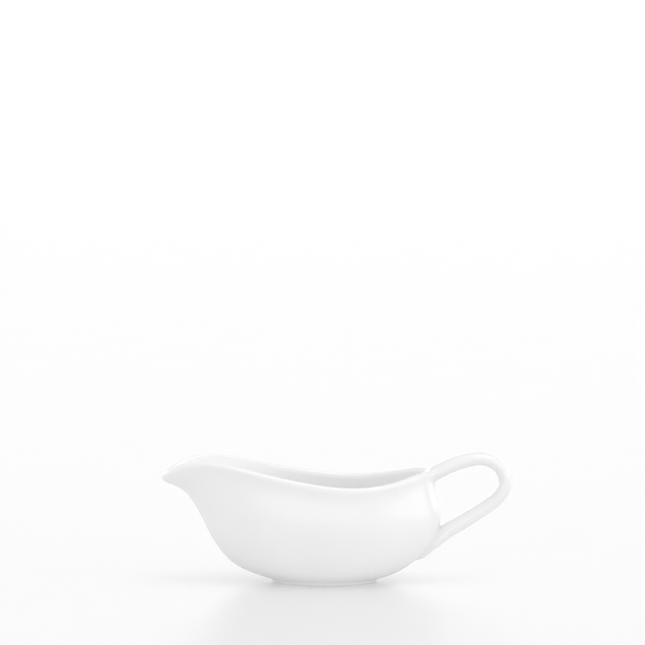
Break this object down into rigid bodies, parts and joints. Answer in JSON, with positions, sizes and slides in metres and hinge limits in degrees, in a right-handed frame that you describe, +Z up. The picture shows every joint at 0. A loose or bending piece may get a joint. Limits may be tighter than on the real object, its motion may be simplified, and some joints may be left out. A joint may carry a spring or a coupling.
{
  "type": "gravy boat",
  "caption": "White glazed porcelain gravy boat: an open bowl drawn out into a long pouring spout, on an oval foot ring, with a loop handle at the back.",
  "frame": {"origin": "on the table under the middle of the boat, half way between the spout tip and the handle's outermost point", "axes": "+X from the spout to the handle, +Y across, +Z up"},
  "size_m": [0.2001, 0.0836, 0.0743],
  "materials": {
    "glazed_porcelain": "glossy clear glaze over white porcelain",
    "foot_porcelain": "glazed sides, bare polished bearing edge"
  },
  "bodies": {
    "root": {"bowl": "glazed_porcelain", "handle": "glazed_porcelain", "upper_slip_joint": "glazed_porcelain", "lower_slip_joint": "glazed_porcelain", "foot_ring": "foot_porcelain"}
  },
  "joints": []
}
